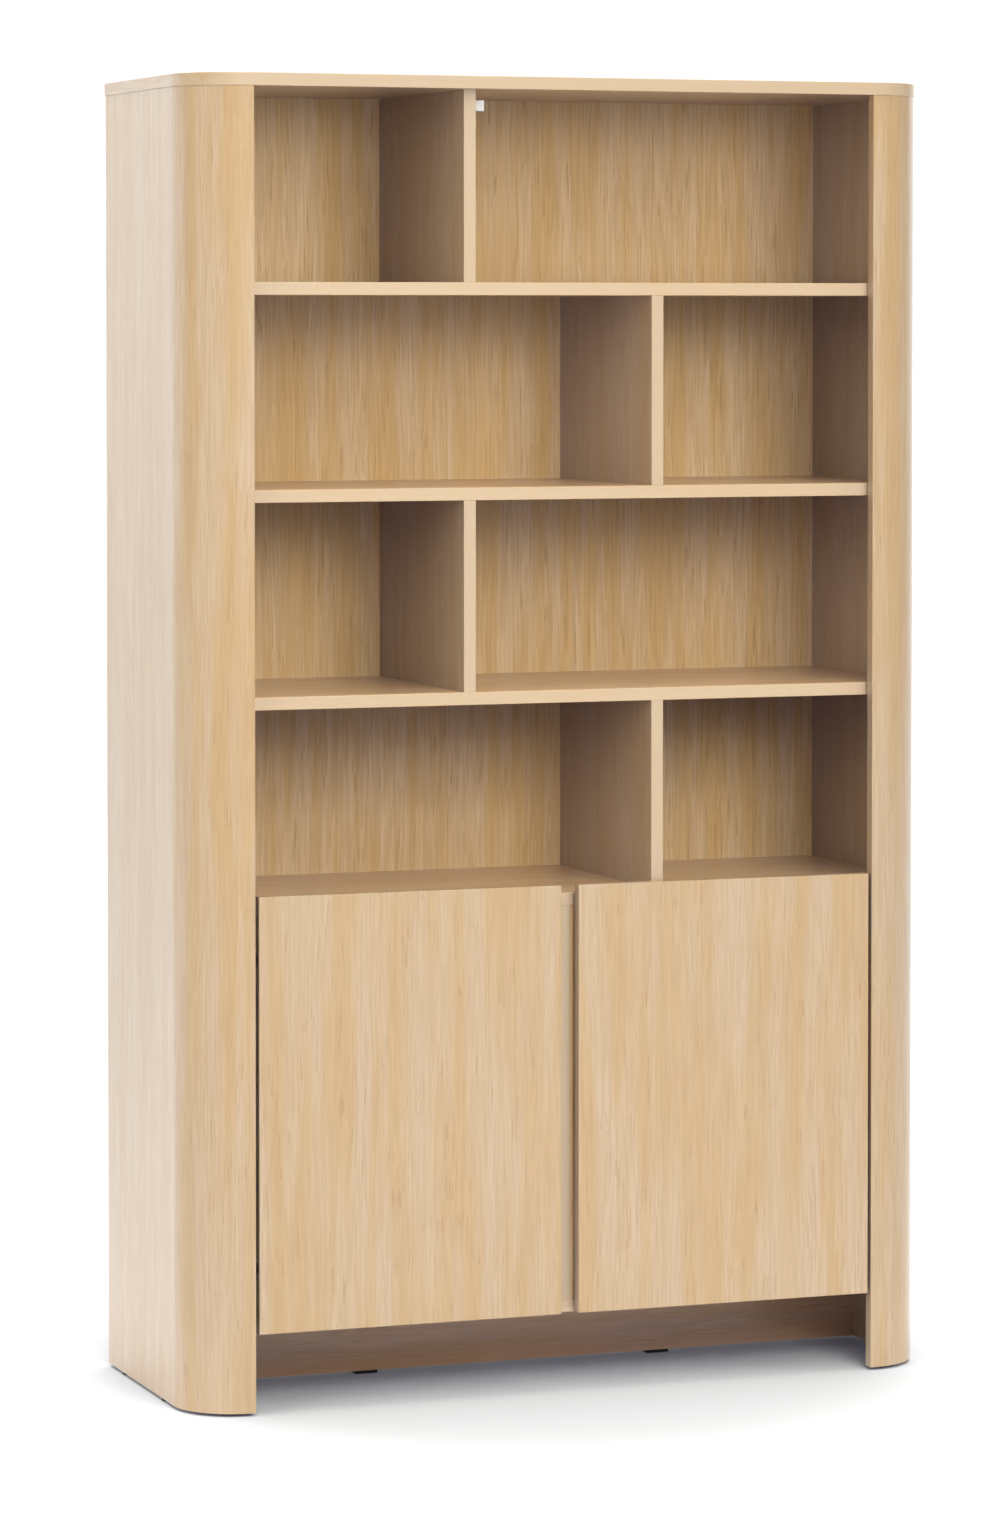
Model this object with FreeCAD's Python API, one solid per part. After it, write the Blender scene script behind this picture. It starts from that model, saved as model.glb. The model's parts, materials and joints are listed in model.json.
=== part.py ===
import FreeCAD, Part
import math
import os

# Tall oak bookcase: four open rows with staggered dividers above a cabinet with two doors.
# Lengths are millimetres. Pieces are drawn with x = 0 on the middle line, y measured back
# from the front plane and z measured up from the floor. Each finished piece is then moved
# so that the origin lies on the floor under the middle of the whole box.

Vector = FreeCAD.Vector
ACROSS = Vector(1, 0, 0)
BACK = Vector(0, 1, 0)
UP = Vector(0, 0, 1)

# Overall sizes
total_height = 1850.0
carcass_depth = 413.0
opening_width = 926.0
board = 18.0
foot_height = 4.5
edge_round = 0.8
overrun = 2.0
match_share = 0.000001

# Side shells: a flat side, a round front corner and a short return to the opening
corner_radius = 87.0
return_flat = 6.0

# Top panel
top_overhang = 1.5
top_edge_round = 1.2

# Back panel, held in grooves
back_inset = 25.0
back_thickness = 6.0
groove_depth = 6.0
groove_fit = 0.3

# Shelves, dividers and cabinet boards
shelf_fit = 0.2
row_count = 4
divider_offset = 141.0
cabinet_top_level = 705.0
cabinet_bottom_level = 110.5
rail_setback = 231.0
gap_strip_width = 21.0
gap_strip_setback = 3.0

# Doors
door_thickness = 18.0
door_back_gap = 6.0
door_side_gap = 5.0
finger_gap = 26.0
door_rise = 13.0
door_lift = 2.0
door_edge_round = 1.0

# Loose cabinet shelves on pins
loose_shelf_play = 0.5
loose_shelf_front_gap = 5.0
pin_radius = 2.5
pin_web = 1.5
pin_reach = 8.0
pin_collar_radius = 4.0
pin_collar_thickness = 1.5
pin_fit = 0.05
pin_hole_pitch = 64.0
pin_hole_count = 5
loose_shelf_height_share = 0.48
pin_depth_shares = (0.12, 0.88)

# Dowels
dowel_radius = 4.0
dowel_in_face = 10.0
dowel_in_end = 18.0
dowel_fit = 0.05
dowel_end_gap = 0.5
wall_dowel_shares = (0.12, 0.5, 0.88)
divider_dowel_shares = (0.2, 0.8)
rail_dowel_shares = (0.3, 0.7)

# Screws with round heads and cross slots
screw_radius = 1.75
screw_head_radius = 3.5
screw_head_height = 1.8
screw_head_round = 0.9
screw_fit = 0.05
screw_length = 13.0
screw_slot_width = 0.9
screw_slot_depth = 0.9
screw_slot_length_share = 0.6
back_screw_shares = (-0.82, -0.4, 0.12, 0.7)

# Cup hinges, each turning on one pin inside its cup
hinge_end_distance = 90.0
hinge_pin_inset = 9.0
hinge_pin_radius = 1.2
hinge_pin_end_gap = 0.1
hinge_pin_seat = 1.4
hinge_pin_seat_fit = 0.02
hinge_pin_running_fit = 0.05
cup_edge_distance = 5.0
cup_radius = 17.5
cup_wall = 1.0
cup_floor = 0.8
cup_depth = 12.5
cup_fit = 0.1
cup_ear_margin = 3.0
flange_thickness = 1.2
flange_lip = 2.5
flange_wing_width = 14.0
flange_wing_reach = 5.5
flange_corner_round = 4.0
notch_gap = 1.0
arm_thickness = 2.4
arm_eye_radius = 2.6
arm_eye_gap = 0.6
arm_neck_lean = 1.4
arm_bar_lead = 6.0
arm_end_margin = 3.0
plate_distance = 37.0
plate_wing_thickness = 2.0
plate_wing_half_depth = 8.0
plate_wing_half_height = 26.0
plate_corner_round = 4.0
plate_screw_half_spacing = 16.0
plate_height = 8.0
plate_front_length = 24.0
plate_rear_length = 22.0
plate_half_height = 8.0
arm_screw_radius = 2.5
arm_screw_head_radius = 4.5
arm_screw_head_height = 2.4
arm_screw_length = 7.0
arm_screw_distance = 10.0

# Door bumpers
bumper_radius = 4.0
bumper_round = 1.5
bumper_edge_distance = 30.0
bumper_gap = 0.3

# White fixing block on the divider of the top row
block_reach = 13.0
block_depth = 18.0
block_height = 15.5
block_drop = 14.5
block_setback = 4.0
block_round = 2.0

# Glides under the side shells and under the base rail
side_glide_radius = 8.0
side_glide_places = (147.0, 344.0)
rail_glide_place = 225.0
rail_glide_width = 34.0
glide_round = 1.0
glide_nail_radius = 1.5
glide_nail_length = 14.0
glide_nail_fit = 0.05
rail_glide_nail_share = 0.25

# Sizes that follow from the ones above
half_opening = opening_width / 2
half_width = half_opening + return_flat + corner_radius
wall_inner = half_width - board
corner_centre = half_width - corner_radius
front_shift = (top_overhang - carcass_depth) / 2
back_face = carcass_depth - back_inset
top_underside = total_height - board
row_clear = (top_underside - cabinet_top_level - (row_count - 1) * board) / row_count
cabinet_floor_level = cabinet_bottom_level + board
cabinet_roof_level = cabinet_top_level - board
cabinet_clear = cabinet_roof_level - cabinet_floor_level
shelf_recess = door_thickness + door_back_gap
shelf_depth = back_face - shelf_recess
wall_flat = back_face - corner_radius
hinge_panel_inner = half_opening - board
door_edge = half_opening - door_side_gap
door_bottom = cabinet_bottom_level + door_lift
door_top = cabinet_top_level + door_rise
door_width = door_edge - finger_gap / 2
hinge_levels = {"upper": door_top - hinge_end_distance, "lower": door_bottom + hinge_end_distance}
hinge_pin_x = hinge_pin_inset - door_edge
cup_x = cup_edge_distance + cup_radius - door_edge
cup_floor_face = door_thickness - cup_depth
hinge_pin_y = cup_floor_face + cup_floor + arm_eye_gap + arm_eye_radius
hinge_pin_outer_offset = cup_edge_distance + cup_radius - hinge_pin_inset + hinge_pin_radius
hinge_pin_half_length = math.sqrt(cup_radius**2 - hinge_pin_outer_offset**2) - hinge_pin_end_gap
notch_half_height = hinge_pin_half_length - hinge_pin_seat
arm_half_height = notch_half_height - notch_gap
flange_radius = cup_radius + flange_lip
cup_screw_half_spacing = flange_radius + flange_wing_reach
flange_half_height = cup_screw_half_spacing + flange_wing_reach
plate_y = shelf_recess + plate_distance
pin_seat = board / 2 - pin_web
loose_shelf_gap = pin_collar_thickness + loose_shelf_play
loose_shelf_front = shelf_recess + gap_strip_setback + board + loose_shelf_front_gap
loose_shelf_level = cabinet_floor_level + loose_shelf_height_share * cabinet_clear


# Drawing helpers

def box(x_range, y_range, z_range):
    """A block between the given limits."""
    low = Vector(x_range[0], y_range[0], z_range[0])
    return Part.makeBox(x_range[1] - x_range[0], y_range[1] - y_range[0], z_range[1] - z_range[0], low)


def rod(radius, length, start, direction):
    """A round rod from its start point along a direction."""
    return Part.makeCylinder(radius, length, start, direction)


def mirrored(shape):
    """The same piece on the other side of the middle line."""
    return shape.mirror(Vector(0, 0, 0), ACROSS)


def both_sides(shapes):
    """The given pieces and their mirror images."""
    return shapes + [mirrored(shape) for shape in shapes]


def same(first, second):
    """True where two places agree."""
    return math.isclose(first, second, abs_tol=match_share * total_height)


def rounded(shape, radius, chosen):
    """The shape with the chosen edges rounded."""
    return shape.makeFillet(radius, [edge for edge in shape.Edges if chosen(edge)])


def rounded_front(shape, front):
    """A board with the long edges of its front face rounded."""

    def on_front(edge):
        return same(edge.BoundBox.YMin, front) and same(edge.BoundBox.YMax, front)

    longest = max(edge.Length for edge in shape.Edges if on_front(edge))
    return rounded(shape, edge_round, lambda edge: on_front(edge) and same(edge.Length, longest))


def prism(edges, bottom, top):
    """A solid with the outline that the edges draw, from one level up to another."""
    solid = Part.Face(Part.Wire(edges)).extrude(UP * (top - bottom))
    solid.translate(UP * bottom)
    return solid


def line(start, end):
    return Part.LineSegment(Vector(*start), Vector(*end)).toShape()


def corner_arc(radius, side, stop_y):
    """An arc about a shell's corner centre, from the flat side round to a distance from the front."""
    turn = math.asin((corner_radius - stop_y) / radius)

    def point(angle):
        x = corner_centre + radius * math.cos(angle)
        return Vector(side * x, corner_radius - radius * math.sin(angle), 0)

    arc = Part.Arc(point(0), point(turn / 2), point(turn)).toShape()
    return arc, point(0), point(turn)


def rounded_board_edges(radius, front, back):
    """The outline of a board whose two front corners follow the shells' corners."""
    right_arc, right_side, right_front = corner_arc(radius, 1, front)
    left_arc, left_side, left_front = corner_arc(radius, -1, front)
    right_back = Vector(right_side.x, back, 0)
    left_back = Vector(left_side.x, back, 0)
    return [
        line(right_back, right_side),
        right_arc,
        line(right_front, left_front),
        left_arc,
        line(left_side, left_back),
        line(left_back, right_back),
    ]


def drilled(shape, holes):
    """The shape with those of the holes that reach it."""
    near = [hole for hole in holes if hole.BoundBox.intersect(shape.BoundBox)]
    return shape.cut(near) if near else shape


def export(node, shape):
    """Write one piece, moved to the middle of the whole box."""
    placed = shape.copy()
    placed.translate(BACK * front_shift)
    placed.exportStep("parts/" + node + ".step")


# Dowels: a place on the joint plane and the direction into the board's end

def dowel(place, direction):
    return rod(dowel_radius, dowel_in_face + dowel_in_end, place - direction * dowel_in_face, direction)


def dowel_hole(place, direction):
    face_side = dowel_in_face + dowel_end_gap
    length = face_side + dowel_in_end + dowel_end_gap
    return rod(dowel_radius + dowel_fit, length, place - direction * face_side, direction)


def wall_dowel_joints(level):
    """Joints of a board's two ends with the side walls."""
    return [
        (Vector(side * wall_inner, corner_radius + share * wall_flat, level), ACROSS * -side)
        for side in (-1, 1)
        for share in wall_dowel_shares
    ]


def upright_dowel_joints(x, floor, roof):
    """Joints of an upright board with the boards below and above it."""
    return [
        (Vector(x, shelf_recess + share * shelf_depth, level), direction)
        for level, direction in ((floor, UP), (roof, -UP))
        for share in divider_dowel_shares
    ]


def top_dowel_joints():
    """Joints of the side walls' upper ends with the top panel."""
    return [
        (Vector(side * (wall_inner + board / 2), corner_radius + share * wall_flat, top_underside), -UP)
        for side in (-1, 1)
        for share in wall_dowel_shares
    ]


def rail_dowel_joints():
    """Joints of the base rail's ends with the side walls."""
    rail_height = cabinet_bottom_level - foot_height
    rail_middle = rail_setback + board / 2
    return [
        (Vector(side * wall_inner, rail_middle, foot_height + share * rail_height), ACROSS * -side)
        for side in (-1, 1)
        for share in rail_dowel_shares
    ]


# Screws: the place of the head's seat and the direction in which the screw is driven

def screw(seat, direction, radius, head_radius, head_height, length):
    head = rod(head_radius, head_height, seat - direction * head_height, direction)
    crown = seat - direction * head_height

    def on_crown(edge):
        return edge.BoundBox.Center.distanceToPoint(crown) < head_height / 2

    head = rounded(head, screw_head_round, on_crown)
    solid = head.fuse(rod(radius, length, seat, direction)).removeSplitter()
    slot_half = head_radius * screw_slot_length_share
    first = UP if abs(direction.z) < abs(direction.x) + abs(direction.y) else ACROSS
    for along in (first, direction.cross(first)):
        wide = direction.cross(along)
        corner = crown - along * slot_half - wide * (screw_slot_width / 2) - direction * screw_slot_depth
        outline = [
            corner,
            corner + along * (slot_half * 2),
            corner + along * (slot_half * 2) + wide * screw_slot_width,
            corner + wide * screw_slot_width,
            corner,
        ]
        slot = Part.Face(Part.makePolygon(outline)).extrude(direction * (screw_slot_depth * 2))
        solid = solid.cut(slot)
    return solid


def wood_screw(seat, direction):
    return screw(seat, direction, screw_radius, screw_head_radius, screw_head_height, screw_length)


def wood_screw_hole(seat, direction):
    return rod(screw_radius + screw_fit, screw_length + dowel_end_gap, seat, direction)


def back_screw_seats():
    """Places of the screws that tie the back panel to the boards in front of it."""
    return [
        Vector(share * wall_inner, back_face + back_thickness, level + board / 2)
        for level in board_levels.values()
        for share in back_screw_shares
    ]


# Carcass boards

def side_shell():
    """The right side shell: one bent board, hollow behind its round front corner."""
    outer_arc, outer_side, outer_front = corner_arc(corner_radius, 1, 0)
    inner_arc, inner_side, inner_front = corner_arc(corner_radius - board, 1, board)
    outer_back = Vector(half_width, carcass_depth, 0)
    inner_back = Vector(wall_inner, carcass_depth, 0)
    return_front = Vector(half_opening, 0, 0)
    return_back = Vector(half_opening, board, 0)
    edges = [
        line(outer_back, outer_side),
        outer_arc,
        line(outer_front, return_front),
        line(return_front, return_back),
        line(return_back, inner_front),
        inner_arc,
        line(inner_side, inner_back),
        line(inner_back, outer_back),
    ]
    shell = prism(edges, foot_height, top_underside)
    groove_x = (wall_inner - overrun, wall_inner + groove_depth)
    groove_y = (back_face, back_face + back_thickness + groove_fit)
    shell = shell.cut(box(groove_x, groove_y, (cabinet_bottom_level, total_height)))

    def on_return_edge(edge):
        return same(edge.BoundBox.XMin, half_opening) and same(edge.BoundBox.ZLength, shell.BoundBox.ZLength)

    return rounded(shell, edge_round, on_return_edge)


def top_panel():
    edges = rounded_board_edges(corner_radius + top_overhang, -top_overhang, carcass_depth)
    panel = prism(edges, top_underside, total_height)

    def on_rim(edge):
        level = same(edge.BoundBox.ZLength, 0)
        return level and not same(edge.BoundBox.YMin, carcass_depth)

    panel = rounded(panel, top_edge_round, on_rim)
    groove_y = (back_face, back_face + back_thickness + groove_fit)
    groove_x = (-wall_inner - groove_depth, wall_inner + groove_depth)
    groove_z = (top_underside - overrun, top_underside + groove_depth)
    return panel.cut(box(groove_x, groove_y, groove_z))


def back_panel():
    half = wall_inner + groove_depth - groove_fit
    top = top_underside + groove_depth - groove_fit
    return box((-half, half), (back_face, back_face + back_thickness), (cabinet_bottom_level, top))


def fixed_board(level):
    """A board from wall to wall, with its front corners inside the shells' corners."""
    edges = rounded_board_edges(corner_radius - board - shelf_fit, shelf_recess, back_face)
    return rounded_front(prism(edges, level, level + board), shelf_recess)


def upright(x, floor, roof):
    """An upright board between two others, centred on x."""
    panel = box((x - board / 2, x + board / 2), (shelf_recess, back_face), (floor, roof))
    return rounded_front(panel, shelf_recess)


def base_rail():
    half = wall_inner - shelf_fit
    return box((-half, half), (rail_setback, rail_setback + board), (foot_height, cabinet_bottom_level))


def gap_strip():
    """The left strip beside the centre partition, which closes the view through the finger gap."""
    front = shelf_recess + gap_strip_setback
    x_range = (-board / 2 - gap_strip_width, -board / 2)
    return box(x_range, (front, front + board), (cabinet_floor_level, cabinet_roof_level))


def loose_shelf():
    """The left cabinet shelf, resting on four pins."""
    x_range = (-hinge_panel_inner + loose_shelf_gap, -board / 2 - loose_shelf_gap)
    y_range = (loose_shelf_front, back_face - loose_shelf_gap)
    shelf = box(x_range, y_range, (loose_shelf_level, loose_shelf_level + board))
    return rounded_front(shelf, loose_shelf_front)


def pin_places():
    """Where the left cabinet's shelf pins leave the boards, and the way that they point."""
    depth = back_face - loose_shelf_front
    return [
        (Vector(x, loose_shelf_front + share * depth, loose_shelf_level - pin_radius), direction)
        for x, direction in ((-hinge_panel_inner, ACROSS), (-board / 2, -ACROSS))
        for share in pin_depth_shares
    ]


def shelf_pin(place, direction):
    shank = rod(pin_radius, pin_seat + pin_reach, place - direction * pin_seat, direction)
    return shank.fuse(rod(pin_collar_radius, pin_collar_thickness, place, direction))


def pin_holes():
    """Columns of holes for the left cabinet's shelf pins."""
    middle = (pin_hole_count - 1) / 2
    return [
        rod(
            pin_radius + pin_fit,
            pin_seat + dowel_end_gap,
            place - direction * (pin_seat + dowel_end_gap) + UP * ((step - middle) * pin_hole_pitch),
            direction,
        )
        for place, direction in pin_places()
        for step in range(pin_hole_count)
    ]


# Doors and hinges, drawn for the left door

def at_level(shape, level):
    placed = shape.copy()
    placed.translate(UP * level)
    return placed


def hinge_notch():
    """The room between the cup's ears and in the door's edge that the hinge arm swings into."""
    x_range = (-half_opening - overrun, hinge_pin_x + cup_ear_margin)
    y_range = (cup_floor_face + cup_floor, door_thickness + flange_thickness + overrun)
    return box(x_range, y_range, (-notch_half_height, notch_half_height))


def cup_screw_seats():
    back = door_thickness + flange_thickness
    return [Vector(cup_x, back, side * cup_screw_half_spacing) for side in (-1, 1)]


def door():
    """The left door with its cup bores, arm notches and screw holes."""
    x_range = (-door_edge, -door_edge + door_width)
    panel = box(x_range, (0, door_thickness), (door_bottom, door_top))
    panel = panel.makeFillet(door_edge_round, panel.Edges)
    bore = rod(cup_radius + cup_fit, cup_depth + overrun, Vector(cup_x, cup_floor_face, 0), BACK)
    cuts = [bore, hinge_notch()] + [wood_screw_hole(seat, -BACK) for seat in cup_screw_seats()]
    for level in hinge_levels.values():
        panel = panel.cut([at_level(cut, level) for cut in cuts])
    return panel


def hinge_pin():
    start = Vector(hinge_pin_x, hinge_pin_y, -hinge_pin_half_length)
    return rod(hinge_pin_radius, hinge_pin_half_length * 2, start, UP)


def hinge_cup():
    """A steel cup with a flange on the door's back, and two ears that hold the pin."""
    floor = Vector(cup_x, cup_floor_face, 0)
    back = door_thickness
    body = rod(cup_radius, cup_depth, floor, BACK)
    flange = rod(flange_radius, flange_thickness, Vector(cup_x, back, 0), BACK)
    half_wing = flange_wing_width / 2
    wing_y = (back, back + flange_thickness)
    wing = box((cup_x - half_wing, cup_x + half_wing), wing_y, (-flange_half_height, flange_half_height))
    wing = rounded(wing, flange_corner_round, lambda edge: same(edge.BoundBox.YLength, edge.Length))
    cup = body.fuse([flange, wing])
    ears = box(
        (cup_x - cup_radius, hinge_pin_x + cup_ear_margin),
        (cup_floor_face, door_thickness + flange_thickness + overrun),
        (-cup_radius, cup_radius),
    )
    hollow = rod(cup_radius - cup_wall, cup_depth + overrun, floor + BACK * cup_floor, BACK).cut(ears)
    seat = rod(
        hinge_pin_radius + hinge_pin_seat_fit,
        hinge_pin_half_length * 2,
        Vector(hinge_pin_x, hinge_pin_y, -hinge_pin_half_length),
        UP,
    )
    screw_holes = [
        rod(screw_radius + screw_fit, flange_thickness + overrun, place, -BACK) for place in cup_screw_seats()
    ]
    return cup.cut([hollow, hinge_notch(), seat] + screw_holes)


def offset_points(points, distance):
    """Points of a line beside the given one, with mitred corners."""
    normals = []
    for start, end in zip(points, points[1:]):
        along = (end - start).normalize()
        normals.append(Vector(-along.y, along.x, 0))
    beside = [points[0] + normals[0] * distance]
    for point, before, after in zip(points[1:-1], normals, normals[1:]):
        middle = (before + after).normalize()
        beside.append(point + middle * (distance / middle.dot(before)))
    beside.append(points[-1] + normals[-1] * distance)
    return beside


def arm_bar_x():
    """The middle of the arm's straight bar, which lies on the mounting plate."""
    return -hinge_panel_inner + plate_height + arm_thickness / 2


def hinge_arm():
    """A bent steel arm from the pin in the cup to the mounting plate."""
    bar_start = shelf_recess + arm_bar_lead
    bar_end = plate_y + plate_rear_length - arm_end_margin
    points = [
        Vector(hinge_pin_x, hinge_pin_y, 0),
        Vector(hinge_pin_x + arm_neck_lean, door_thickness, 0),
        Vector(arm_bar_x(), bar_start, 0),
        Vector(arm_bar_x(), bar_end, 0),
    ]
    left = offset_points(points, arm_thickness / 2)
    right = offset_points(points, -arm_thickness / 2)
    outline = left + right[::-1] + [left[0]]
    strip = Part.Face(Part.makePolygon(outline)).extrude(UP * (arm_half_height * 2))
    strip.translate(UP * -arm_half_height)
    eye_start = Vector(hinge_pin_x, hinge_pin_y, -arm_half_height)
    arm = strip.fuse(rod(arm_eye_radius, arm_half_height * 2, eye_start, UP))
    bore_start = eye_start - UP * overrun
    bore = rod(hinge_pin_radius + hinge_pin_running_fit, (arm_half_height + overrun) * 2, bore_start, UP)
    return arm.cut([bore, arm_screw_hole()])


def plate_screw_seats():
    x = -hinge_panel_inner + plate_wing_thickness
    return [Vector(x, plate_y, side * plate_screw_half_spacing) for side in (-1, 1)]


def arm_screw_seat():
    return Vector(arm_bar_x() + arm_thickness / 2, plate_y + arm_screw_distance, 0)


def arm_screw():
    seat = arm_screw_seat()
    head = (arm_screw_head_radius, arm_screw_head_height)
    return screw(seat, -ACROSS, arm_screw_radius, *head, arm_screw_length)


def arm_screw_hole():
    return rod(arm_screw_radius + screw_fit, arm_screw_length + dowel_end_gap, arm_screw_seat(), -ACROSS)


def mounting_plate():
    """The steel plate on the hinge panel that carries the arm."""
    face = -hinge_panel_inner
    wing = box(
        (face, face + plate_wing_thickness),
        (plate_y - plate_wing_half_depth, plate_y + plate_wing_half_depth),
        (-plate_wing_half_height, plate_wing_half_height),
    )
    wing = rounded(wing, plate_corner_round, lambda edge: same(edge.BoundBox.XLength, edge.Length))
    seat = box(
        (face, face + plate_height),
        (plate_y - plate_front_length, plate_y + plate_rear_length),
        (-plate_half_height, plate_half_height),
    )
    holes = [
        rod(screw_radius + screw_fit, plate_wing_thickness + overrun, place, -ACROSS)
        for place in plate_screw_seats()
    ]
    return wing.fuse(seat).removeSplitter().cut(holes + [arm_screw_hole()])


def door_bumpers():
    """Soft stops on the left door's back, facing the cabinet's floor and roof boards."""
    x = -door_edge + door_width - bumper_edge_distance
    length = shelf_recess - door_thickness - bumper_gap
    bumpers = []
    for level in (cabinet_bottom_level + board / 2, cabinet_roof_level + board / 2):
        bumper = rod(bumper_radius, length, Vector(x, door_thickness, level), BACK)
        tip = door_thickness + length
        bumpers.append(rounded(bumper, bumper_round, lambda edge: same(edge.BoundBox.YMin, tip)))
    return bumpers


# Small pieces

def block_face():
    """The face of the top row's divider that carries the fixing block."""
    return board / 2 - divider_offset


def fixing_block():
    top = top_underside - block_drop
    front = shelf_recess + block_setback
    x_range = (block_face(), block_face() + block_reach)
    block = box(x_range, (front, front + block_depth), (top - block_height, top))
    block = rounded(block, block_round, lambda edge: edge.BoundBox.XMin > block_face() + block_round)
    return block.cut(rod(screw_radius + screw_fit, block_reach + overrun, block_screw_seat(), -ACROSS))


def block_screw_seat():
    middle_y = shelf_recess + block_setback + block_depth / 2
    middle_z = top_underside - block_drop - block_height / 2
    return Vector(block_face() + block_reach, middle_y, middle_z)


def block_screw_length():
    return block_reach + screw_length


def block_screw():
    head = (screw_head_radius, screw_head_height)
    return screw(block_screw_seat(), -ACROSS, screw_radius, *head, block_screw_length())


def side_glides():
    """Round glides under the right side shell, each with the nail that holds it."""
    glides = []
    for place in side_glide_places:
        foot = Vector(wall_inner + board / 2, place, 0)
        pad = rod(side_glide_radius, foot_height, foot, UP)
        pad = rounded(pad, glide_round, lambda edge: same(edge.BoundBox.ZMax, 0))
        nail = rod(glide_nail_radius, glide_nail_length, foot + UP * foot_height, UP)
        glides.append(pad.fuse(nail))
    return glides


def rail_glide():
    """The right glide under the base rail, with its two nails."""
    half = rail_glide_width / 2
    x_range = (rail_glide_place - half, rail_glide_place + half)
    pad = box(x_range, (rail_setback, rail_setback + board), (0, foot_height))
    pad = rounded(pad, glide_round, lambda edge: same(edge.BoundBox.ZMax, 0))
    nails = [
        rod(glide_nail_radius, glide_nail_length, Vector(x, rail_setback + board / 2, foot_height), UP)
        for x in rail_nail_places()
    ]
    return pad.fuse(nails)


def rail_nail_places():
    return [rail_glide_place + side * rail_glide_nail_share * rail_glide_width for side in (-1, 1)]


def glide_nail_holes():
    """Holes for the nails of the right side's glides."""
    places = [Vector(wall_inner + board / 2, place, foot_height) for place in side_glide_places]
    places += [Vector(x, rail_setback + board / 2, foot_height) for x in rail_nail_places()]
    length = glide_nail_length + dowel_end_gap
    return [rod(glide_nail_radius + glide_nail_fit, length, place, UP) for place in places]


# Levels of the fixed boards and the limits of the open rows

board_levels = {"cabinet_bottom": cabinet_bottom_level, "cabinet_top": cabinet_roof_level}
for number, name in enumerate(("lower_shelf", "middle_shelf", "upper_shelf"), start=1):
    board_levels[name] = cabinet_top_level + number * row_clear + (number - 1) * board

dividers = {}
for number in range(row_count):
    floor = cabinet_top_level + number * (row_clear + board)
    side = 1 if number % 2 == 0 else -1
    dividers["row_%d_divider" % (row_count - number)] = (side * divider_offset, floor, floor + row_clear)

hinge_panel_x = half_opening - board / 2
cabinet_uprights = {
    "left_hinge_panel": (-hinge_panel_x, cabinet_floor_level, cabinet_roof_level),
    "right_hinge_panel": (hinge_panel_x, cabinet_floor_level, cabinet_roof_level),
    "centre_partition": (0, cabinet_floor_level, cabinet_roof_level),
}

# Joints, and the holes that they need

shelf_joints = [joint for level in board_levels.values() for joint in wall_dowel_joints(level + board / 2)]
divider_joints = [joint for place in dividers.values() for joint in upright_dowel_joints(*place)]
cabinet_joints = [joint for place in cabinet_uprights.values() for joint in upright_dowel_joints(*place)]
dowel_groups = {
    "shelf_dowels": shelf_joints,
    "divider_dowels": divider_joints,
    "cabinet_dowels": cabinet_joints,
    "top_dowels": top_dowel_joints(),
    "base_rail_dowels": rail_dowel_joints(),
}

holes = [dowel_hole(*joint) for joints in dowel_groups.values() for joint in joints]
holes += [wood_screw_hole(seat, -BACK) for seat in back_screw_seats()]
holes += both_sides(pin_holes())
holes += both_sides(glide_nail_holes())
for level in hinge_levels.values():
    plate_screw_holes = [wood_screw_hole(seat, -ACROSS) for seat in plate_screw_seats()]
    holes += both_sides([at_level(hole, level) for hole in plate_screw_holes])
holes.append(rod(screw_radius + screw_fit, block_screw_length() + dowel_end_gap, block_screw_seat(), -ACROSS))

# All the pieces

os.makedirs("parts", exist_ok=True)

export("top_panel", drilled(top_panel(), holes))
export("right_side_shell", drilled(side_shell(), holes))
export("left_side_shell", drilled(mirrored(side_shell()), holes))
export("back_panel", drilled(back_panel(), holes))
for name, level in board_levels.items():
    export(name, drilled(fixed_board(level), holes))
for name, place in {**dividers, **cabinet_uprights}.items():
    export(name, drilled(upright(*place), holes))
export("base_rail", drilled(base_rail(), holes))
for name, joints in dowel_groups.items():
    export(name, Part.makeCompound([dowel(*joint) for joint in joints]))
export("back_panel_screws", Part.makeCompound([wood_screw(seat, -BACK) for seat in back_screw_seats()]))

left_pins = [shelf_pin(*place) for place in pin_places()]
export("shelf_pins", Part.makeCompound(both_sides(left_pins)))
export("side_glides", Part.makeCompound(both_sides(side_glides())))
export("rail_glides", Part.makeCompound(both_sides([rail_glide()])))
export("fixing_block", fixing_block())
export("fixing_block_screw", block_screw())

sides = {"left": lambda shape: shape, "right": mirrored}
for side_name, on_side in sides.items():
    export(side_name + "_gap_strip", on_side(gap_strip()))
    export(side_name + "_cabinet_shelf", on_side(loose_shelf()))
    export(side_name + "_door", on_side(door()))
    export(side_name + "_door_bumpers", on_side(Part.makeCompound(door_bumpers())))
    cup_screws = []
    plate_screws = []
    arm_screws = []
    for level_name, level in hinge_levels.items():
        hinge_name = side_name + "_" + level_name + "_hinge_"
        export(hinge_name + "cup", on_side(at_level(hinge_cup(), level)))
        export(hinge_name + "pin", on_side(at_level(hinge_pin(), level)))
        export(hinge_name + "arm", on_side(at_level(hinge_arm(), level)))
        export(hinge_name + "plate", on_side(at_level(mounting_plate(), level)))
        cup_screws += [at_level(wood_screw(seat, -BACK), level) for seat in cup_screw_seats()]
        plate_screws += [at_level(wood_screw(seat, -ACROSS), level) for seat in plate_screw_seats()]
        arm_screws.append(at_level(arm_screw(), level))
    export(side_name + "_cup_screws", on_side(Part.makeCompound(cup_screws)))
    export(side_name + "_plate_screws", on_side(Part.makeCompound(plate_screws)))
    export(side_name + "_arm_screws", on_side(Part.makeCompound(arm_screws)))
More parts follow.
